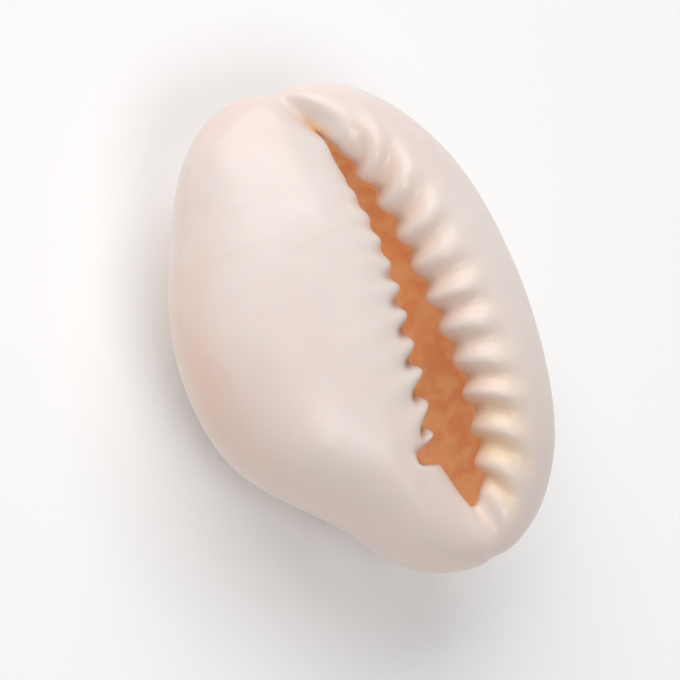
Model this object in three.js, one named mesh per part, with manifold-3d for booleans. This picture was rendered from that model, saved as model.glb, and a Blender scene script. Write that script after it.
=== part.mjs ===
// A ring cowrie shell bead, lying on its back with the toothed slit upwards.
// Millimetres. +Y runs to the spire end, +X to the outer lip, +Z up through the slit.
// The skin is one closed surface: from the middle of the back, out over the margin and the base,
// down over the lips, through the slit and round the chamber inside.
import * as THREE from "three";
import { mergeVertices } from "three/addons/utils/BufferGeometryUtils.js";
import Module from "manifold-3d";

// Driving dimensions
const halfLength = 10;
const whorlHalfWidth = 8.15; // from the slit's axis to the margin, on the rounded whorl side
const lipHalfWidth = 6; // the same on the outer lip's side
const shellHeight = 9.7;
const baseHeight = 4.8; // top of the base above the shell's mid level
const restFlatDepth = 0.12; // how much of the back is flattened where the shell rests
const backX = -0.95; // lowest point of the back, under the centre of mass
const backY = 0.3;

const slitHalfLength = 7.85;
const slitMiddleY = 0.1;
const lipToothPitch = 1.32;
const lipToothRise = 0.36;
const firstLipToothY = 0.43; // a ridge stands here, and the others follow at the pitch
const whorlToothPitch = 1.25; // at the last tooth, and finer towards the spire end
const whorlToothRise = 0.38;
const lastWhorlToothY = -4.5;
const lastBayY = -5.2; // a rounded bay parts the last whorl tooth from the ridge that ends the row
const lastBayDepth = 0.9;
const spireNotchDepth = 0.25; // in the margin's outline, where a canal leaves the shell
const frontNotchDepth = 0.1;
const spireGrooveDepth = 0.75; // of the canal's groove in the base
const frontGrooveDepth = 0.35;

const domeWall = 0.8; // shell thickness at the middle of the back
const stringHoleRadius = 0.9;
const stringHoleX = -1.2;
const stringHoleY = -6;

// Mesh fineness
const around = 140;
const domeRows = 9;
const baseRows = 12;
const underRows = 6;
const chamberRows = 8;

const clamp = THREE.MathUtils.clamp;
const lerp = THREE.MathUtils.lerp;
const smooth = THREE.MathUtils.smoothstep;
const bell = (distance, width) => Math.exp(-((distance / width) ** 2));

// "turn" goes once round the shell: 0 at the outer lip, a quarter at the spire end's canal,
// a half at the whorl side and three quarters at the front canal.
const onLipSide = (turn) => Math.cos(turn) >= 0;

// Passes gently from the whorl side's value to the lip side's round each end of the slit.
const bySide = (turn, whorl, lip) => lerp(whorl, lip, smooth(Math.cos(turn), -0.2, 0.2));

// The margin seen from above: full at the whorl side's spire end, with a waist towards the front.
// Each canal notches it, and the notch fades out on the back.
function marginPlan(turn, notched = 1) {
  const spireEnd = Math.sin(turn) > 0;
  const bearing = turn + (spireEnd ? 0.12 : 0.1) * Math.sin(turn) ** 2;
  const along = Math.sin(bearing);
  const across = Math.cos(bearing);
  const lip = lipHalfWidth * (1 - 0.06 * along + 0.09 * along ** 2);
  const waist = 0.23 * bell(along + 0.75, 0.26);
  const whorl = whorlHalfWidth * (1 + 0.04 * along - 0.09 * along ** 2 - waist);
  const shoulder = 1 + 0.075 * bell(along - 0.88, 0.2) * smooth(-across, 0, 0.35);
  const sway = 0.35 * Math.max(0, -along) ** 3 - 0.45 * Math.max(0, along) ** 3;
  const notch = spireEnd ? spireNotchDepth : frontNotchDepth;
  const reach = halfLength - notched * notch * bell(Math.cos(turn), 0.06);
  const side = across > 0 ? lip : whorl;
  return new THREE.Vector2(across * side * shoulder + sway, along * reach * shoulder);
}

// The slit's edge, narrow at the spire end and widest towards the front.
function slitPlan(turn) {
  const wrapped = Math.asin(Math.sin(turn));
  const progress = wrapped / (Math.PI / 2);
  const along = lerp(progress, Math.sin(wrapped), 0.35);
  const y = slitMiddleY + slitHalfLength * along;
  const middle = 0.92 - 0.027 * Math.max(0, y - 1.5) ** 2 + 0.035 * Math.min(0, y);
  const opening = 0.52 * smooth(8.6 - y, 0, 2) + 0.72 * smooth(-y, -3, 6);
  const belly = onLipSide(turn) ? 0 : 0.33 * bell(y + 4.8, 1.4);
  const half = (opening + belly) * Math.sqrt(Math.max(0, 1 - along ** 2));
  return new THREE.Vector2(middle + (onLipSide(turn) ? half : -half), y);
}

// Height of the margin's edge, lowest along the whorl side.
const marginHeight = (turn) => lerp(1.9, bySide(turn, 1.2, 1.9), Math.abs(Math.cos(turn)));

// Height of the base, which falls away at both ends.
const crestHeight = (turn) => baseHeight - 1.3 * Math.abs(Math.sin(turn)) ** 4;

// A shallow groove runs from each end of the slit to the notch in the margin.
function canalGroove(spot, share) {
  const end = spot.y > 0 ? Math.PI / 2 : -Math.PI / 2;
  const start = slitPlan(end);
  const run = marginPlan(end).sub(start);
  const offset = spot.clone().sub(start);
  const ahead = offset.dot(run) / run.lengthSq();
  const aside = offset.addScaledVector(run, -ahead).length();
  const depth = spot.y > 0 ? spireGrooveDepth : frontGrooveDepth;
  return depth * bell(aside, 0.45) * smooth(ahead, -0.35, 0.25) * (1 - share ** 4);
}

// The lips roll down into the slit, tightly on the outer lip and broadly on the whorl side.
const rollRadius = (turn) => bySide(turn, 2.8, 1.7);
const rollDepth = (turn) => lerp(bySide(turn, 1.7, 1.4), 0.7, Math.abs(Math.sin(turn)) ** 6);

// Rounded ridges and furrows, 0 to 1.
const ridge = (phase) => Math.cos(Math.PI * phase) ** 2;

// How far the teeth stand out of the rolled lip, "distance" from the slit's edge.
function toothRise(turn, y, distance) {
  if (onLipSide(turn)) {
    const reach = 1 - smooth(distance, 0.4, 2.5);
    const ends = smooth(7.5 - y, 0, 2.2) * smooth(7.6 + y, 0, 1);
    return lipToothRise * ends * reach * (ridge((y - firstLipToothY) / lipToothPitch) - 0.45);
  }
  const reach = bell(distance, 0.75) + 0.16 * bell(distance, 2);
  const row = smooth(y, -5.1, -4.8) * (1 - smooth(y, 4.5, 6.5));
  const growth = lerp(1, 0.28, smooth(y, -3, 5));
  const fromLast = y - lastWhorlToothY;
  const phase = (fromLast / whorlToothPitch) * (1 + 0.018 * fromLast);
  return whorlToothRise * growth * row * reach * (ridge(phase) - 0.45);
}

// How far the bay reaches into the whorl side's lip.
function bayReach(turn, y, distance) {
  if (onLipSide(turn)) return 0;
  return lastBayDepth * bell((y - lastBayY) ** 2, 0.18) * (1 - smooth(distance, 0, 2.2));
}

// The base, from the slit's edge (0) to the margin (1).
function basePoint(turn, part) {
  const edge = slitPlan(turn);
  const margin = marginPlan(turn);
  const share = Math.sin((Math.PI / 2) * part ** 1.6);
  const width = margin.distanceTo(edge);
  const distance = share * width;
  const spot = edge.clone().lerp(margin, share);
  const low = marginHeight(turn);
  const shoulder = (1 - share ** 2.7) ** (1 / 1.9);
  const nearness = clamp(1 - distance / Math.min(rollRadius(turn), 0.9 * width), 0, 1);
  const upright = Math.sqrt(1 - nearness ** 2);
  const roll = rollDepth(turn) * (1 - upright);
  const rise = toothRise(turn, edge.y, distance) * (1 - share ** 2);
  const bay = bayReach(turn, spot.y, distance);
  const x = spot.x - Math.sign(Math.cos(turn)) * nearness * rise - bay;
  const z = low + (crestHeight(turn) - low) * shoulder - roll + rise * upright;
  return new THREE.Vector3(x, spot.y, z - canalGroove(spot, share));
}

// The back, from the margin (0) to its lowest point (1).
function domePoint(turn, part) {
  const margin = marginPlan(turn, (1 - part) ** 5);
  const angle = (Math.PI / 2) * part;
  const waist = 0.06 * Math.sin(2 * angle) ** 2;
  const spread = Math.cos(angle) ** 0.92 - waist;
  const sink = Math.sin(angle);
  const low = marginHeight(turn);
  const lowest = baseHeight - shellHeight - restFlatDepth;
  return new THREE.Vector3(
    lerp(backX, margin.x, spread),
    lerp(backY, margin.y, spread),
    Math.max(lerp(low, lowest, sink), lowest + restFlatDepth),
  );
}

// The chamber's widest line: the wall is thickest on the whorl side.
function chamberPlan(turn) {
  const margin = marginPlan(turn);
  const across = Math.cos(turn);
  const wall = across > 0 ? 1.5 : 3.2;
  return new THREE.Vector2(margin.x - across * wall, margin.y * 0.78);
}

const chamberHeight = (turn) => lerp(1.2, 0.4, Math.abs(Math.cos(turn)));

// Under the lips, from the slit's edge (0) to the chamber's widest line (1).
function underPoint(turn, part) {
  const edge = basePoint(turn, 0);
  const wide = chamberPlan(turn);
  const share = 1 - Math.cos((Math.PI / 2) * part);
  const sink = Math.sin((Math.PI / 2) * part);
  return new THREE.Vector3(
    lerp(edge.x, wide.x, share),
    lerp(edge.y, wide.y, share),
    lerp(edge.z, chamberHeight(turn), sink),
  );
}

// The chamber's floor, from its widest line (0) to the middle of the back (1).
function chamberPoint(turn, part) {
  const wide = chamberPlan(turn);
  const angle = (Math.PI / 2) * part;
  const spread = Math.cos(angle);
  const lowest = baseHeight - shellHeight + domeWall;
  return new THREE.Vector3(
    lerp(backX, wide.x, spread),
    lerp(backY, wide.y, spread),
    lerp(chamberHeight(turn), lowest, Math.sin(angle)),
  );
}

// One row of the skin, counted from the middle of the back outside to the one inside.
function skinPoint(turn, row) {
  const zones = [
    { rows: domeRows, point: (part) => domePoint(turn, 1 - part) },
    { rows: baseRows, point: (part) => basePoint(turn, 1 - part) },
    { rows: underRows, point: (part) => underPoint(turn, part) },
    { rows: chamberRows, point: (part) => chamberPoint(turn, part) },
  ];
  let left = row;
  for (const zone of zones) {
    if (left <= zone.rows) return zone.point(left / zone.rows);
    left -= zone.rows;
  }
  return chamberPoint(turn, 1);
}

// A sphere's grid, each of its points moved to its place on the skin.
function skinGeometry() {
  const rows = domeRows + baseRows + underRows + chamberRows;
  const skin = new THREE.SphereGeometry(1, around, rows);
  const points = skin.attributes.position;
  for (let row = 0; row <= rows; row++) {
    for (let column = 0; column <= around; column++) {
      const turn = -2 * Math.PI * ((column % around) / around);
      const point = skinPoint(turn, row);
      points.setXYZ(row * (around + 1) + column, point.x, point.y, point.z);
    }
  }
  return skin;
}

// A drilled hole for a string, through the back into the chamber.
function stringHoleGeometry() {
  const drill = new THREE.CylinderGeometry(stringHoleRadius, stringHoleRadius, 5, 24);
  drill.rotateX(Math.PI / 2);
  drill.rotateX(THREE.MathUtils.degToRad(-32));
  drill.translate(stringHoleX, stringHoleY, -2.6);
  return drill;
}

const wasm = await Module();
wasm.setup();

function solidOf(geometry) {
  geometry.deleteAttribute("normal");
  geometry.deleteAttribute("uv");
  const merged = mergeVertices(geometry);
  return new wasm.Manifold(
    new wasm.Mesh({
      numProp: 3,
      vertProperties: merged.attributes.position.array,
      triVerts: new Uint32Array(merged.index.array),
    }),
  );
}

function geometryOf(solid) {
  const mesh = solid.getMesh();
  const geometry = new THREE.BufferGeometry();
  geometry.setAttribute("position", new THREE.BufferAttribute(mesh.vertProperties, 3));
  geometry.setIndex(new THREE.BufferAttribute(mesh.triVerts, 1));
  geometry.computeVertexNormals();
  return geometry;
}

// The origin is under the middle of the shell, at the level it rests on.
function shellMesh() {
  const drilled = solidOf(skinGeometry()).subtract(solidOf(stringHoleGeometry()));
  const geometry = geometryOf(drilled);
  geometry.computeBoundingBox();
  const middle = geometry.boundingBox.getCenter(new THREE.Vector3());
  geometry.translate(-middle.x, -middle.y, -geometry.boundingBox.min.z);
  const enamel = new THREE.MeshStandardMaterial({ color: 0xeadbd2, roughness: 0.35, metalness: 0 });
  const shell = new THREE.Mesh(geometry, enamel);
  shell.name = "shell";
  return shell;
}

const group = new THREE.Group();
group.add(shellMesh());

export default group;
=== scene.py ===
import math

import bmesh
import bpy
from mathutils import Matrix, Vector, noise


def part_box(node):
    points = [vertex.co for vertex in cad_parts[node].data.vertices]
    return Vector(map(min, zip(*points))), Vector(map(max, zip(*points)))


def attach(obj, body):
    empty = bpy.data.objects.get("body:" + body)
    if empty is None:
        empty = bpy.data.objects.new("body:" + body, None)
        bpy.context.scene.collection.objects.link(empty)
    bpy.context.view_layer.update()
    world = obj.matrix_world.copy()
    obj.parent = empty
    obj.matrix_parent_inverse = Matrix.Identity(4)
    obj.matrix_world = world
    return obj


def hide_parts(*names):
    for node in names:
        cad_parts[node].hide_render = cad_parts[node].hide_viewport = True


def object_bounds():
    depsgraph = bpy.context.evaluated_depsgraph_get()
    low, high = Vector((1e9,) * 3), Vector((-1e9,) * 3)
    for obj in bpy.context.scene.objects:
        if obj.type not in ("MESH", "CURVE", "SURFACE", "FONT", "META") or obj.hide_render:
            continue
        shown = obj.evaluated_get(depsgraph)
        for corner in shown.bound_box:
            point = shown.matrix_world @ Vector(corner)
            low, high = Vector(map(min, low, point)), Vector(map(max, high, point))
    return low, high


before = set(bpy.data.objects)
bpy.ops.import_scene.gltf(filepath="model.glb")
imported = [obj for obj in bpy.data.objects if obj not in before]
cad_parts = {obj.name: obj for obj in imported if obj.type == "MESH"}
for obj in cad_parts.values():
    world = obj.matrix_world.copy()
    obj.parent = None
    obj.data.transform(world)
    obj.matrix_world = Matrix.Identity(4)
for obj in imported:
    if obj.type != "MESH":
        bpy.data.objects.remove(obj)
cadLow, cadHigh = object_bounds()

fullTurn = 2 * math.pi
quarterTurn = math.pi / 2


def clamp(value, low=0.0, high=1.0):
    return max(low, min(high, value))


def mix(a, b, share):
    return a + (b - a) * share


def smooth(value, low, high):
    t = clamp((value - low) / (high - low))
    return t * t * (3 - 2 * t)


def bell(distance, width):
    return math.exp(-((distance / width) ** 2))


def wander(value, seed):
    # a slow random wave along one number, -1 to 1; each use has a seed of its own
    return noise.noise(Vector((value, seed * 7.31, seed * 3.17)))


def deselectAll():
    if bpy.context.object and bpy.context.object.mode != "OBJECT":
        bpy.ops.object.mode_set(mode="OBJECT")
    bpy.ops.object.select_all(action="DESELECT")


def chooseOnly(thing):
    deselectAll()
    thing.select_set(True)
    bpy.context.view_layer.objects.active = thing


# the shell's skin, in millimetres: +Y runs to the spire end, +X to the outer lip, +Z up out of the slit
# a turn of 0 is the middle of the lip side, and a quarter turn is the spire end
# a pair of numbers says where a change begins and where it is complete, and a taper is a slope and a curve

shellShape = {
    "halfLength": 10.0,
    "whorlHalfWidth": 8.15,
    "whorlTaper": (0.04, -0.09),
    "lipHalfWidth": 6.0,
    "lipTaper": (-0.06, 0.09),
    "height": 9.7,
    "baseHeight": 4.8,
    "endsDrop": 1.3,
    "marginHeight": 1.9,
    "whorlMarginHeight": 1.2,
    "restFlatDepth": 0.12,
    "backX": -0.95,
    "backY": 0.3,
    "spireTwist": 0.12,
    "frontTwist": 0.1,
    "spireSway": 0.45,
    "frontSway": 0.35,
    "spireNotch": 0.25,
    "frontNotch": 0.1,
    "notchWidth": 0.06,
    "waist": 0.23,
    "waistAlong": -0.75,  # -1 at the front, 1 at the spire end
    "waistLength": 0.26,
    "shoulder": 0.075,
    "shoulderAlong": 0.88,
    "shoulderLength": 0.2,
    "whorlRollRadius": 2.8,
    "lipRollRadius": 1.7,
    "whorlRollDepth": 1.7,
    "lipRollDepth": 1.4,
    "endRollDepth": 0.7,
    "broadUnevenness": 0.05,
    "fineUnevenness": 0.015,
    # the slit and the chamber under it
    "slitHalfLength": 7.85,
    "slitHalfWidth": 0.52,
    "slitMiddleX": 0.92,
    "slitMiddleY": 0.1,
    "slitBend": 0.027,
    "slitBendFrom": 1.5,
    "slitLean": 0.035,
    "slitPointY": 8.6,
    "slitPointLength": 2,
    "slitWiden": 0.72,
    "slitWidenY": (3, -6),
    "slitBelly": 0.33,
    "slitBellyY": -4.8,
    "slitBellyLength": 1.4,
    "whorlWall": 3.2,
    "lipWall": 1.5,
    "domeWall": 0.8,
    "chamberLength": 0.78,
    "chamberEndHeight": 1.2,
    "chamberSideHeight": 0.4,
    # the canals at its ends
    "spireCanalDepth": 0.75,
    "frontCanalDepth": 0.35,
    "canalWidth": 0.45,
    "canalStainWidth": 0.18,
    "frontCanalStain": 0.3,
    # the teeth of the outer lip
    "ridgeLevel": 0.45,  # how far up a ridge the skin is where it would be without teeth
    "lipToothPitch": 1.32,
    "lipToothRise": 0.36,
    "oneLipToothY": 0.43,
    "lipToothReach": (0.4, 2.5),
    "lipRowSpireEnd": 7.5,
    "lipRowSpireFade": 2.2,
    "lipRowFrontEnd": -7.6,
    "lipRowFrontFade": 1,
    # painted shade: the gaps between the lip's ridges are darkened where they meet the slit
    "lipGapPaintedShade": 0.2,
    "lipGapPaintedShadeWidth": 0.14,
    # the teeth of the whorl side, and the bay after the last of them
    "whorlToothPitch": 1.25,
    "whorlPitchGrowth": 0.018,
    "whorlToothRise": 0.38,
    "lastWhorlToothY": -4.5,
    "whorlRowFrontEnd": (-5.1, -4.8),
    "whorlRowSpireEnd": (4.5, 6.5),
    "whorlSpireToothSize": 0.28,  # of the size at the front
    "whorlToothSizeY": (-3, 5),
    "whorlToothReach": 0.75,
    "whorlRidgeReach": 2.0,
    # painted shade: the gaps between the whorl teeth are darkened near the slit, most towards the front
    "whorlGapPaintedShade": 0.85,
    "whorlGapPaintedShadeReach": (0.5, 1.1),
    "whorlGapPaintedShadeY": (-1, 4),
    "bayY": -5.2,
    "baySquaredWidth": 0.18,  # squared, so that the bay's floor is round
    "bayDepth": 0.9,
    "bayReach": 2.2,
    # painted shade: the bay's floor is darkened
    "bayPaintedShade": 0.7,
    "bayPaintedShadeWidth": 0.6,
    # the markings
    "slitEdgeMark": 0.5,  # 0 on the base, 1 in the chamber
    "slitEdgeWidth": 0.2,
    # the peach rim tint is partly the shell's own colour and partly a painted warm reflection
    "baseRimWidth": 0.1,
    "backRimWidth": 0.22,
    "spireRimLoss": 0.85,
    "ringGap": (0.14, 0.32),
    "blotAway": 0.46,  # in radians from the spire end
    "blotWidth": 0.15,
    "blotSize": 1.5,
    # the grid of the skin
    "around": 400,
    "backRows": 50,
    "baseRows": 90,
    "underRows": 24,
    "chamberRows": 24,
}


def onLipSide(turn):
    return math.cos(turn) >= 0


def bySide(turn, whorl, lip):
    # passes gently from the whorl side's value to the lip side's round each end of the slit
    return mix(whorl, lip, smooth(math.cos(turn), -0.2, 0.2))


def marginPlan(turn, notched=1.0):
    # the outline from above: a shoulder at the spire end, a waist near the front, a notch at each canal
    s = shellShape
    spireEnd = math.sin(turn) > 0
    bearing = turn + (s["spireTwist"] if spireEnd else s["frontTwist"]) * math.sin(turn) ** 2
    along, across = math.sin(bearing), math.cos(bearing)
    waist = s["waist"] * bell(along - s["waistAlong"], s["waistLength"])
    shoulder = s["shoulder"] * bell(along - s["shoulderAlong"], s["shoulderLength"])
    shoulder *= smooth(-across, 0, 0.35)  # on the whorl side only
    slope, curve = s["lipTaper"]
    lip = s["lipHalfWidth"] * (1 + slope * along + curve * along ** 2)
    slope, curve = s["whorlTaper"]
    whorl = s["whorlHalfWidth"] * (1 + slope * along + curve * along ** 2 - waist)
    sway = s["frontSway"] * max(0, -along) ** 3 - s["spireSway"] * max(0, along) ** 3
    notch = s["spireNotch"] if spireEnd else s["frontNotch"]
    reach = s["halfLength"] - notched * notch * bell(math.cos(turn), s["notchWidth"])
    side = lip if across > 0 else whorl
    return Vector((across * side * (1 + shoulder) + sway, along * reach * (1 + shoulder)))


def slitPlan(turn):
    # the slit bends at the spire end, widens to the front and has a belly on the whorl side
    s = shellShape
    wrapped = math.asin(clamp(math.sin(turn), -1, 1))
    along = mix(wrapped / quarterTurn, math.sin(wrapped), 0.35)
    y = s["slitMiddleY"] + s["slitHalfLength"] * along
    middle = s["slitMiddleX"] + s["slitLean"] * min(0, y)
    middle -= s["slitBend"] * max(0, y - s["slitBendFrom"]) ** 2
    opening = s["slitHalfWidth"] * smooth(s["slitPointY"] - y, 0, s["slitPointLength"])
    opening += s["slitWiden"] * smooth(y, *s["slitWidenY"])
    if not onLipSide(turn):
        opening += s["slitBelly"] * bell(y - s["slitBellyY"], s["slitBellyLength"])
    half = opening * math.sqrt(max(0, 1 - along ** 2))
    return Vector((middle + (half if onLipSide(turn) else -half), y))


def marginHeight(turn):
    s = shellShape
    side = bySide(turn, s["whorlMarginHeight"], s["marginHeight"])
    return mix(s["marginHeight"], side, abs(math.cos(turn)))


def crestHeight(turn):
    return shellShape["baseHeight"] - shellShape["endsDrop"] * abs(math.sin(turn)) ** 4


def canalGroove(spot, share):
    # a shallow groove runs from each end of the slit to the notch in the margin, stained along its floor
    s = shellShape
    spireEnd = spot.y > 0
    end = quarterTurn if spireEnd else -quarterTurn
    start = slitPlan(end)
    run = marginPlan(end) - start
    ahead = (spot - start).dot(run) / run.length_squared
    aside = (spot - start - run * ahead).length
    depth = s["spireCanalDepth"] if spireEnd else s["frontCanalDepth"]
    groove = depth * bell(aside, s["canalWidth"]) * smooth(ahead, -0.35, 0.25) * (1 - share ** 4)
    stainAndPaintedShade = bell(aside, s["canalStainWidth"]) * smooth(ahead, -0.3, 0) * (1 - smooth(ahead, 0.1, 0.75))
    return groove, stainAndPaintedShade * (1 if spireEnd else s["frontCanalStain"])


def rollRadius(turn):
    return bySide(turn, shellShape["whorlRollRadius"], shellShape["lipRollRadius"])


def rollDepth(turn):
    s = shellShape
    side = bySide(turn, s["whorlRollDepth"], s["lipRollDepth"])
    return mix(side, s["endRollDepth"], abs(math.sin(turn)) ** 6)


def ridge(phase):
    # rounded ridges and furrows, 0 to 1
    return math.cos(math.pi * phase) ** 2


def lipTooth(y, distance):
    # long ridges, a little uneven in place, length and size
    s = shellShape
    wave = ridge((y - s["oneLipToothY"]) / s["lipToothPitch"] + 0.12 * wander(y * 0.6, 1))
    fadeFrom, fadeTo = s["lipToothReach"]
    reach = 1 - smooth(distance, fadeFrom, fadeTo + 0.5 * wander(y * 0.9, 2))
    row = smooth(s["lipRowSpireEnd"] - y, 0, s["lipRowSpireFade"])
    row *= smooth(y - s["lipRowFrontEnd"], 0, s["lipRowFrontFade"])
    size = 1 + 0.3 * wander(y * 0.8, 3)
    rise = s["lipToothRise"] * size * row * reach * (wave - s["ridgeLevel"])
    # the furrow mark, strongest between the ridges, carries a tint that is partly the shell's own tone and
    # partly painted shade
    furrow = row * reach * (1 - 0.6 * wave)
    # painted shade in the gap between two ridges, at the slit's edge
    stainAndPaintedShade = s["lipGapPaintedShade"] * row * (1 - wave) ** 3 * bell(distance, s["lipGapPaintedShadeWidth"])
    return rise, furrow, stainAndPaintedShade


def whorlTooth(y, distance):
    # short teeth that shrink towards the spire end, each with a faint ridge behind it
    s = shellShape
    fromLast = y - s["lastWhorlToothY"]
    phase = fromLast / s["whorlToothPitch"] * (1 + s["whorlPitchGrowth"] * fromLast)
    wave = ridge(phase + 0.1 * wander(y * 0.7, 4))
    row = smooth(y, *s["whorlRowFrontEnd"]) * (1 - smooth(y, *s["whorlRowSpireEnd"]))
    size = mix(1, s["whorlSpireToothSize"], smooth(y, *s["whorlToothSizeY"])) * (1 + 0.3 * wander(y * 0.9, 5))
    reach = bell(distance, s["whorlToothReach"]) + 0.16 * bell(distance, s["whorlRidgeReach"])
    rise = s["whorlToothRise"] * size * row * reach * (wave - s["ridgeLevel"])
    # the furrow mark, strongest between the teeth, carries a tint that is partly the shell's own tone and
    # partly painted shade
    furrow = 0.6 * row * reach * (1 - wave)
    # painted shade in the gap between two teeth, near the slit's edge
    stainAndPaintedShade = s["whorlGapPaintedShade"] * row * (1 - wave) ** 2
    stainAndPaintedShade *= (1 - smooth(distance, *s["whorlGapPaintedShadeReach"])) * (1 - smooth(y, *s["whorlGapPaintedShadeY"]))
    return rise, furrow, stainAndPaintedShade


def lastBay(turn, y):
    # a rounded bay parts the last whorl tooth from the ridge that ends the row
    s = shellShape
    return 0 if onLipSide(turn) else bell((y - s["bayY"]) ** 2, s["baySquaredWidth"])


def rimPigmentAndPaintedReflection(turn):
    # the margin is tinted peach, least at the spire end: partly the shell's own colour, partly a painted warm
    # reflection
    return 1 - shellShape["spireRimLoss"] * smooth(math.sin(turn), 0.1, 0.8)


def basePoint(turn, part):
    # from the slit's edge (0) to the margin (1)
    s = shellShape
    edge, margin = slitPlan(turn), marginPlan(turn)
    share = math.sin(quarterTurn * part ** 1.6)
    outward = margin - edge
    width = outward.length
    distance = share * width
    spot = edge + outward * share
    low = marginHeight(turn)
    crown = max(0, 1 - share ** 2.7) ** (1 / 1.9)
    nearness = clamp(1 - distance / min(rollRadius(turn), 0.9 * width))
    upright = math.sqrt(1 - nearness ** 2)  # how far the skin has turned from the slit's wall to level
    tooth = lipTooth if onLipSide(turn) else whorlTooth
    rise, furrow, gapPaintedShade = tooth(edge.y, distance)
    rise *= 1 - share ** 2
    bay = lastBay(turn, spot.y)
    inward = math.copysign(1, math.cos(turn)) * nearness * rise
    x = spot.x - inward - s["bayDepth"] * bay * (1 - smooth(distance, 0, s["bayReach"]))
    z = low + (crestHeight(turn) - low) * crown - rollDepth(turn) * (1 - upright)
    groove, stainAndPaintedShade = canalGroove(spot, share)
    marks = {
        "slitDepth": s["slitEdgeMark"] * bell(distance, s["slitEdgeWidth"]),
        "furrow": furrow,
        # painted shade in the gaps between the teeth and in the bay
        "gapShade": max(gapPaintedShade, s["bayPaintedShade"] * bay * bell(distance, s["bayPaintedShadeWidth"])),
        "canalStain": stainAndPaintedShade,
        "rim": rimPigmentAndPaintedReflection(turn) * bell(1 - share, s["baseRimWidth"]),
    }
    return Vector((x, spot.y, z + rise * upright - groove)), marks


def backPoint(turn, part):
    # from the margin (0) to the lowest point of the back (1), with the small flat that the shell rests on
    s = shellShape
    margin = marginPlan(turn, (1 - part) ** 5)
    angle = quarterTurn * part
    spread = math.cos(angle) ** 0.92 - 0.06 * math.sin(2 * angle) ** 2 if part < 1 else 0
    lowest = s["baseHeight"] - s["height"] - s["restFlatDepth"]
    z = mix(marginHeight(turn), lowest, math.sin(angle))
    return Vector((mix(s["backX"], margin.x, spread), mix(s["backY"], margin.y, spread),
                   max(z, lowest + s["restFlatDepth"])))


def chamberPlan(turn):
    s = shellShape
    margin = marginPlan(turn)
    across = math.cos(turn)
    wall = s["lipWall"] if across > 0 else s["whorlWall"]
    return Vector((margin.x - across * wall, margin.y * s["chamberLength"]))


def chamberHeight(turn):
    return mix(shellShape["chamberEndHeight"], shellShape["chamberSideHeight"], abs(math.cos(turn)))


def underPoint(turn, part):
    # under the lips, from the slit's edge (0) to the chamber's widest line (1)
    edge = basePoint(turn, 0)[0]
    wide = chamberPlan(turn)
    share = smooth(part, 0, 1)
    return Vector((mix(edge.x, wide.x, share), mix(edge.y, wide.y, share),
                   mix(edge.z, chamberHeight(turn), part)))


def chamberPoint(turn, part):
    # from the chamber's widest line (0) to its lowest point (1)
    s = shellShape
    wide = chamberPlan(turn)
    spread = math.cos(quarterTurn * part) if part < 1 else 0
    lowest = s["baseHeight"] - s["height"] + s["domeWall"]
    return Vector((mix(s["backX"], wide.x, spread), mix(s["backY"], wide.y, spread),
                   mix(chamberHeight(turn), lowest, math.sin(quarterTurn * part))))


def ringWeight(turn):
    # the golden ring breaks at the spire end, with a fat blot on each side of the gap
    s = shellShape
    away = math.acos(clamp(math.sin(turn), -1, 1))
    blots = s["blotSize"] * bell(away - s["blotAway"], s["blotWidth"])
    waves = 0.35 * wander(2.2 * math.cos(turn), 6) + 0.3 * wander(3.1 * math.sin(turn), 7)
    return smooth(away, *s["ringGap"]) * (1 + blots + waves)


def skinPoint(turn, row):
    # one point of the skin, with the marks that its colours follow
    s = shellShape
    if row <= s["backRows"]:
        part = 1 - row / s["backRows"]
        rim = rimPigmentAndPaintedReflection(turn) * bell(part, s["backRimWidth"])
        return backPoint(turn, part), {"backShare": part, "ringWeight": ringWeight(turn), "rim": rim}
    row -= s["backRows"]
    if row <= s["baseRows"]:
        return basePoint(turn, 1 - row / s["baseRows"])
    row -= s["baseRows"]
    if row <= s["underRows"]:
        part = row / s["underRows"]
        return underPoint(turn, part), {"slitDepth": mix(s["slitEdgeMark"], 1, smooth(part, 0, 0.2))}
    row -= s["underRows"]
    return chamberPoint(turn, row / s["chamberRows"]), {"slitDepth": 1.0}


def growSkin():
    # a sphere's rows and columns become the skin, from the middle of the back in through the slit
    s = shellShape
    rows = s["backRows"] + s["baseRows"] + s["underRows"] + s["chamberRows"]
    deselectAll()
    bpy.ops.mesh.primitive_uv_sphere_add(segments=s["around"], ring_count=rows, radius=1,
                                         location=(0, 0, 0))
    skin = bpy.context.object
    skin.name = skin.data.name = "cowrieShell"
    markNames = ("slitDepth", "furrow", "gapShade", "canalStain", "rim", "backShare", "ringWeight")
    for name in markNames:
        skin.data.attributes.new(name, "FLOAT", "POINT")
    layers = {name: skin.data.attributes[name] for name in markNames}
    for point in skin.data.vertices:
        row = round(math.acos(clamp(point.co.z, -1, 1)) / math.pi * rows)
        column = round(math.atan2(point.co.y, point.co.x) / fullTurn * s["around"]) % s["around"]
        spot, marks = skinPoint(-fullTurn * column / s["around"], row)
        swell = noise.noise(spot * 0.3) * s["broadUnevenness"]
        swell += noise.noise(spot * 0.9) * s["fineUnevenness"]
        if row > s["backRows"] // 3:  # the flat that the shell rests on stays level
            spot += (spot - Vector((0.3, spot.y * 0.8, 0))).normalized() * swell
        point.co = spot
        for name, value in marks.items():
            layers[name].data[point.index].value = value
    return skin


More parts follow.
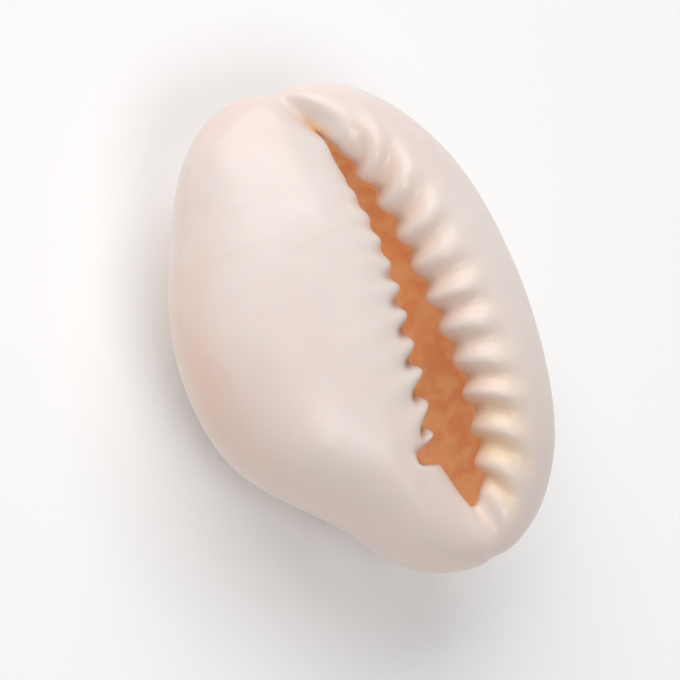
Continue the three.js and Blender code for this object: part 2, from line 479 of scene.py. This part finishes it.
def fitToFrame(skin):
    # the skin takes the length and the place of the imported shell
    points = [v.co for v in skin.data.vertices]
    low = Vector([min(p[i] for p in points) for i in range(3)])
    high = Vector([max(p[i] for p in points) for i in range(3)])
    nodeLow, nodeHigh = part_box("shell")
    size = (nodeHigh[1] - nodeLow[1]) / (high.y - low.y)
    fromSpot = Vector(((low.x + high.x) / 2, (low.y + high.y) / 2, low.z))
    toSpot = Vector(((nodeLow[0] + nodeHigh[0]) / 2, (nodeLow[1] + nodeHigh[1]) / 2, nodeLow[2]))
    placing = Matrix.Translation(toSpot) @ Matrix.Scale(size, 4) @ Matrix.Translation(-fromSpot)
    skin.data.transform(placing)
    return placing


def smoothSkin(skin):
    chooseOnly(skin)
    bpy.ops.object.shade_smooth()


print("growing the skin")
shell = growSkin()
placing = fitToFrame(shell)
smoothSkin(shell)
print("skin points:", len(shell.data.vertices), "faces:", len(shell.data.polygons))


stringHole = {
    "radius": 0.9,
    "x": -1.2,
    "y": -6.0,
    "z": -2.6,
    "lean": -32.0,
    "flare": 1.22,
    "flareDepth": 0.22,
    "startInside": 1.5,
    "runOut": 1.0,
    "unevenness": 0.035,
    "corners": 72,
}


def drillStringHole(skin):
    # the drill stops at the skin, opens into a ground flare and runs on outside
    h = stringHole
    lean = Matrix.Rotation(math.radians(h["lean"]), 4, "X")
    place = placing @ Matrix.Translation((h["x"], h["y"], h["z"])) @ lean
    start, out = place.translation, (place.to_3x3() @ Vector((0, 0, -1))).normalized()
    skinHit = skin.ray_cast(start, out)[1]
    reach = (skinHit - start).length / placing.median_scale
    deselectAll()
    depth = reach - h["flareDepth"] + h["startInside"]
    middle = (0, 0, h["startInside"] - depth / 2)
    bpy.ops.mesh.primitive_cylinder_add(vertices=h["corners"], radius=h["radius"], depth=depth,
                                        location=middle)
    drill = bpy.context.object
    bpy.ops.object.mode_set(mode="EDIT")
    bpy.ops.mesh.select_all(action="DESELECT")
    bpy.ops.mesh.select_mode(type="FACE")
    net = bmesh.from_edit_mesh(drill.data)
    for face in net.faces:
        face.select_set(face.normal.z < -0.9)
    bmesh.update_edit_mesh(drill.data)
    for travel, widen in ((2 * h["flareDepth"], h["flare"]), (h["runOut"], 1.0)):
        bpy.ops.mesh.extrude_region_move(TRANSFORM_OT_translate={"value": (0, 0, -travel)})
        bpy.ops.transform.resize(value=(widen, widen, 1))
    bpy.ops.object.mode_set(mode="OBJECT")
    drill.data.transform(Matrix.Translation(middle))
    drill.location = (0, 0, 0)
    for point in drill.data.vertices:
        around = math.atan2(point.co.y, point.co.x)
        waves = wander(2.5 * math.cos(around), 11) + wander(2.5 * math.sin(around), 12)
        point.co.xy *= 1 + h["unevenness"] * waves
    drill.data.transform(place)
    drill.data.materials.append(drilledWall)
    chooseOnly(skin)
    cut = skin.modifiers.new("stringHole", "BOOLEAN")
    cut.operation = "DIFFERENCE"
    cut.solver = "EXACT"
    cut.material_mode = "TRANSFER"
    cut.object = drill
    bpy.ops.object.modifier_apply(modifier=cut.name)
    bpy.data.objects.remove(drill)


def newMaterial(name):
    material = bpy.data.materials.new(name)
    material.use_nodes = True
    return material, material.node_tree, material.node_tree.nodes["Principled BSDF"]


def makeFineGrain():
    # a node group: soft clouds and a fine tooth, for colour, roughness and height
    group = bpy.data.node_groups.new("fineGrain", "ShaderNodeTree")
    group.interface.new_socket(name="Vector", in_out="INPUT", socket_type="NodeSocketVector")
    nodes, links = group.nodes, group.links
    layerDetail = {"Cloud": 3, "Tooth": 2}
    for name in layerDetail:
        group.interface.new_socket(name=name + " Scale", in_out="INPUT", socket_type="NodeSocketFloat")
        group.interface.new_socket(name=name, in_out="OUTPUT", socket_type="NodeSocketFloat")
    entry, leave = nodes.new("NodeGroupInput"), nodes.new("NodeGroupOutput")
    for name, detail in layerDetail.items():
        texture = nodes.new("ShaderNodeTexNoise")
        texture.inputs["Detail"].default_value = detail
        links.new(entry.outputs["Vector"], texture.inputs["Vector"])
        links.new(entry.outputs[name + " Scale"], texture.inputs["Scale"])
        links.new(texture.outputs["Fac"], leave.inputs[name])
    return group


fineGrain = makeFineGrain()


def addGrain(tree, vector, cloudScale, toothScale):
    grain = tree.nodes.new("ShaderNodeGroup")
    grain.node_tree = fineGrain
    grain.inputs["Cloud Scale"].default_value = cloudScale
    grain.inputs["Tooth Scale"].default_value = toothScale
    tree.links.new(vector, grain.inputs["Vector"])
    return grain.outputs["Cloud"], grain.outputs["Tooth"]


def objectPlace(tree):
    return tree.nodes.new("ShaderNodeTexCoord").outputs["Object"]


def readMark(tree, name):
    mark = tree.nodes.new("ShaderNodeAttribute")
    mark.attribute_name = name
    return mark.outputs["Fac"]


def ease(tree, value, fromLow, fromHigh, toLow=0.0, toHigh=1.0):
    # a soft step from one value to another
    step = tree.nodes.new("ShaderNodeMapRange")
    step.interpolation_type = "SMOOTHSTEP"
    step.inputs["From Min"].default_value = fromLow
    step.inputs["From Max"].default_value = fromHigh
    step.inputs["To Min"].default_value = toLow
    step.inputs["To Max"].default_value = toHigh
    tree.links.new(value, step.inputs["Value"])
    return step.outputs["Result"]


def calculate(tree, operation, a, b=0.0):
    node = tree.nodes.new("ShaderNodeMath")
    node.operation = operation
    for socket, value in zip(node.inputs, (a, b)):
        if isinstance(value, (int, float)):
            socket.default_value = value
        else:
            tree.links.new(value, socket)
    return node.outputs[0]


def tint(tree, base, colour, mask):
    # lays a colour over what is there already, where the mask says
    node = tree.nodes.new("ShaderNodeMix")
    node.data_type = "RGBA"
    for socket, value in (("A", base), ("B", colour), ("Factor", mask)):
        if isinstance(value, bpy.types.NodeSocket):
            tree.links.new(value, node.inputs[socket])
        else:
            node.inputs[socket].default_value = value
    return node.outputs["Result"]


def addBump(tree, surface, height, strength, depth):
    bump = tree.nodes.new("ShaderNodeBump")
    bump.inputs["Strength"].default_value = strength
    bump.inputs["Distance"].default_value = depth
    tree.links.new(height, bump.inputs["Height"])
    tree.links.new(bump.outputs["Normal"], surface.inputs["Normal"])


# colours are linear, scales are per metre, and places and depths are in metres

enamelLook = {
    "cream": (0.86, 0.77, 0.72, 1),
    "rose": (0.83, 0.69, 0.64, 1),
    "frontRose": (0.83, 0.7, 0.64, 1),
    "frontRoseY": (-0.007, 0.005),
    "pearl": (0.8, 0.78, 0.79, 1),
    # peach for the margin: partly the shell's own colour, partly a painted warm reflection
    "peach": (0.86, 0.58, 0.45, 1),
    # the furrow and gold tints lie deepest between the teeth: partly the shell's own tone, partly painted
    # shade
    "furrow": (0.87, 0.67, 0.55, 1),
    "gold": (0.93, 0.68, 0.42, 1),
    "goldY": (-0.006, -0.002),
    # dark maroon painted shade for the gaps between the teeth and the bay
    "gapShade": (0.3, 0.11, 0.06, 1),
    "canal": (0.82, 0.55, 0.34, 1),
    "insideRing": (0.78, 0.64, 0.53, 1),
    "ring": (0.8, 0.46, 0.12, 1),
    "ringEdge": (0.62, 0.3, 0.07, 1),
    "ringShare": 0.54,
    "ringHalfWidth": 0.027,
    "ringWobble": 0.03,
    "insideRingBlend": 0.12,
    "chamber": (0.62, 0.36, 0.18, 1),
    "chamberDeep": (0.5, 0.25, 0.12, 1),
    # painted light: the chamber glows, standing in for light let through its thin walls
    "glow": (0.84, 0.49, 0.23, 1),
    "glowDeep": (0.74, 0.32, 0.15, 1),
    "chamberPaintedGlow": 0.3,
    "cloudScale": 170,
    "swellScale": 420,
    "fleckScale": 620,
    "toothScale": 1500,
    "streakScale": 1900,
    "bandScale": 420,
    "streakStretch": (0.12, 1, 0.12),
    "roughness": (0.3, 0.42),
    "toothHeight": 0.2,
    "bumpStrength": 0.25,
    "bumpDepth": 0.0001,
    "coat": 0.25,
    "coatRoughness": 0.28,
    "glowThrough": 0.14,
    "glowThroughColour": (1.0, 0.55, 0.35),
    "glowThroughDepth": 0.0007,
}


def addCream(tree, place, cloud, fleck, streak):
    # cream with rose clouds, pearl flecks and faint growth streaks, and a peach margin that is partly the
    # shell's own colour and partly a painted warm reflection;
    # rosier to the front, and golden in the furrows between the teeth, partly the shell's own tone and partly
    # painted shade
    look = enamelLook
    colour = tint(tree, look["cream"], look["rose"], ease(tree, cloud, 0.35, 0.68))
    colour = tint(tree, colour, look["pearl"], ease(tree, fleck, 0.5, 0.8, 0, 0.35))
    colour = tint(tree, colour, look["rose"], ease(tree, streak, 0.5, 0.75, 0, 0.4))
    blush = ease(tree, cloud, 0.3, 0.62, 0.6, 0.95)
    # peach at the margin: partly the shell's own colour, partly a painted warm reflection
    colour = tint(tree, colour, look["peach"], calculate(tree, "MULTIPLY", readMark(tree, "rim"), blush))
    split = tree.nodes.new("ShaderNodeSeparateXYZ")
    tree.links.new(place, split.inputs["Vector"])
    along = split.outputs["Y"]
    colour = tint(tree, colour, look["frontRose"], ease(tree, along, *look["frontRoseY"], 0.75, 0))
    # golden towards the front, deepest in the furrows between the teeth: partly the shell's own tone, partly
    # painted shade
    gold = tint(tree, look["gold"], look["furrow"], ease(tree, along, *look["goldY"]))
    return tint(tree, colour, gold, calculate(tree, "MULTIPLY", readMark(tree, "furrow"), 0.85))


def addRing(tree, colour, fleck):
    # the golden ring on the back, darker along its edges, with a tan field inside it
    look = enamelLook
    wobble = calculate(tree, "MULTIPLY", calculate(tree, "SUBTRACT", fleck, 0.5), look["ringWobble"])
    ringPlace = calculate(tree, "ADD", readMark(tree, "backShare"), wobble)
    ringShare = look["ringShare"]
    field = ease(tree, ringPlace, ringShare, ringShare + look["insideRingBlend"], 0, 0.75)
    colour = tint(tree, colour, look["insideRing"], field)
    offRing = calculate(tree, "ABSOLUTE", calculate(tree, "SUBTRACT", ringPlace, ringShare))
    weight = calculate(tree, "MULTIPLY", readMark(tree, "ringWeight"), look["ringHalfWidth"])
    ringRatio = calculate(tree, "DIVIDE", offRing, calculate(tree, "MAXIMUM", weight, 0.0001))
    colour = tint(tree, colour, look["ringEdge"], ease(tree, ringRatio, 0.7, 1.15, 0.85, 0))
    return tint(tree, colour, look["ring"], ease(tree, ringRatio, 0.35, 0.95, 0.9, 0))


def makeEnamel():
    look = enamelLook
    material, tree, surface = newMaterial("shellEnamel")
    place = objectPlace(tree)
    cloud, swell = addGrain(tree, place, look["cloudScale"], look["swellScale"])
    fleck, tooth = addGrain(tree, place, look["fleckScale"], look["toothScale"])
    stretch = tree.nodes.new("ShaderNodeMapping")
    stretch.inputs["Scale"].default_value = look["streakStretch"]
    tree.links.new(place, stretch.inputs["Vector"])
    streak, band = addGrain(tree, stretch.outputs["Vector"], look["streakScale"], look["bandScale"])

    colour = addCream(tree, place, cloud, fleck, streak)
    # painted shade: the gaps between the teeth and the bay are darkened
    colour = tint(tree, colour, look["gapShade"], readMark(tree, "gapShade"))
    colour = tint(tree, colour, look["canal"], readMark(tree, "canalStain"))
    colour = addRing(tree, colour, fleck)

    inside = ease(tree, readMark(tree, "slitDepth"), 0.47, 0.85)
    deep = tint(tree, look["chamber"], look["chamberDeep"], ease(tree, cloud, 0.35, 0.65))
    tree.links.new(tint(tree, colour, deep, inside), surface.inputs["Base Color"])
    # painted light: an emission inside the slit stands in for light let through the thin walls
    glow = tint(tree, look["glow"], look["glowDeep"], ease(tree, tooth, 0.38, 0.62))
    tree.links.new(tint(tree, (0, 0, 0, 1), glow, inside), surface.inputs["Emission Color"])
    surface.inputs["Emission Strength"].default_value = look["chamberPaintedGlow"]

    polish = ease(tree, calculate(tree, "ADD", band, tooth), 0.7, 1.3, *look["roughness"])
    tree.links.new(polish, surface.inputs["Roughness"])
    height = calculate(tree, "ADD", swell, calculate(tree, "MULTIPLY", tooth, look["toothHeight"]))
    addBump(tree, surface, height, look["bumpStrength"], look["bumpDepth"])
    surface.inputs["Coat Weight"].default_value = look["coat"]
    surface.inputs["Coat Roughness"].default_value = look["coatRoughness"]
    surface.inputs["Subsurface Weight"].default_value = look["glowThrough"]
    surface.inputs["Subsurface Radius"].default_value = look["glowThroughColour"]
    surface.inputs["Subsurface Scale"].default_value = look["glowThroughDepth"]
    return material


drilledWallLook = {
    "chalk": (0.86, 0.78, 0.7, 1),
    "dust": (0.74, 0.58, 0.45, 1),
    "cloudScale": 900,
    "toothScale": 7000,
    "roughness": (0.7, 0.9),
    "bumpStrength": 0.6,
    "bumpDepth": 0.00008,
}


def makeDrilledWall():
    look = drilledWallLook
    material, tree, surface = newMaterial("drilledWall")
    cloud, tooth = addGrain(tree, objectPlace(tree), look["cloudScale"], look["toothScale"])
    colour = tint(tree, look["chalk"], look["dust"], ease(tree, cloud, 0.35, 0.7))
    tree.links.new(colour, surface.inputs["Base Color"])
    tree.links.new(ease(tree, tooth, 0.3, 0.7, *look["roughness"]), surface.inputs["Roughness"])
    addBump(tree, surface, tooth, look["bumpStrength"], look["bumpDepth"])
    return material


print("mixing the enamel")
enamel = makeEnamel()
drilledWall = makeDrilledWall()
shell.data.materials.append(enamel)
print("drilling the string hole")
drillStringHole(shell)

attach(shell, "root")
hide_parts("shell")


studio = {
    "floorSize": 2.0,
    "floorColour": (0.98, 0.98, 0.98, 1),
    "floorCloudScale": 3,
    "floorToothScale": 1500,
    "floorRoughness": (0.75, 0.85),
    "floorBumpStrength": 0.1,
    "floorBumpDepth": 0.00002,
    "lightDistance": 0.4,
    "keyFrom": (0.05, 1.0, 0.8),
    "keySize": 0.42,
    "keyPower": 1.25,
    "sheenFrom": (0.35, -0.2, 0.9),
    "sheenSize": 0.16,
    "sheenPower": 0.35,
    "worldStrength": 0.35,
    "lens": 300,
    "frameWidth": 0.0265,
    "azimuth": -90,
    "elevation": 65,
    "roll": 70.3,
    "clipStart": 0.01,
    "clipEnd": 10,
}


def makeFloor():
    c = studio
    deselectAll()
    bpy.ops.mesh.primitive_plane_add(size=c["floorSize"])
    floor = bpy.context.object
    floor.name = "studioFloor"
    floor.data.transform(Matrix.Translation((0, 0, cadLow[2])))
    material, tree, surface = newMaterial("palePaper")
    cloud, tooth = addGrain(tree, objectPlace(tree), c["floorCloudScale"], c["floorToothScale"])
    surface.inputs["Base Color"].default_value = c["floorColour"]
    tree.links.new(ease(tree, cloud, 0.3, 0.7, *c["floorRoughness"]), surface.inputs["Roughness"])
    addBump(tree, surface, tooth, c["floorBumpStrength"], c["floorBumpDepth"])
    floor.data.materials.append(material)


def makeCamera():
    c = studio
    centre = Vector([(a + b) / 2 for a, b in zip(cadLow, cadHigh)])
    azimuth, elevation = math.radians(c["azimuth"]), math.radians(c["elevation"])
    level = Vector((math.sin(azimuth), -math.cos(azimuth), 0)) * math.cos(elevation)
    back = level + Vector((0, 0, math.sin(elevation)))
    bpy.ops.object.camera_add()
    camera = bpy.context.object
    camera.data.lens = c["lens"]
    camera.data.clip_start, camera.data.clip_end = c["clipStart"], c["clipEnd"]
    camera.location = centre + back * (c["frameWidth"] * c["lens"] / camera.data.sensor_width)
    view = (-back).to_track_quat("-Z", "Y").to_matrix() @ Matrix.Rotation(math.radians(c["roll"]), 3, "Z")
    camera.rotation_euler = view.to_euler()
    bpy.context.scene.camera = camera
    return view, centre


def addSoftLight(name, direction, size, power, centre):
    bpy.ops.object.light_add(type="AREA")
    lamp = bpy.context.object
    lamp.name = name
    lamp.data.size = size
    lamp.data.energy = power
    lamp.visible_camera = False
    lamp.location = centre + direction.normalized() * studio["lightDistance"]
    lamp.rotation_euler = (-direction).to_track_quat("-Z", "Y").to_euler()


def lightStudio(view, centre):
    # directions are given as the camera sees them: right, up, towards it
    c = studio
    addSoftLight("keyLight", view @ Vector(c["keyFrom"]), c["keySize"], c["keyPower"], centre)
    addSoftLight("sheenLight", view @ Vector(c["sheenFrom"]), c["sheenSize"], c["sheenPower"], centre)
    world = bpy.data.worlds.new("studioWorld")
    bpy.context.scene.world = world
    world.use_nodes = True
    sky = world.node_tree.nodes["Background"]
    sky.inputs["Color"].default_value = (1, 1, 1, 1)
    sky.inputs["Strength"].default_value = c["worldStrength"]
    bpy.context.scene.view_settings.view_transform = "Standard"


print("setting up the studio")
makeFloor()
view, centre = makeCamera()
lightStudio(view, centre)
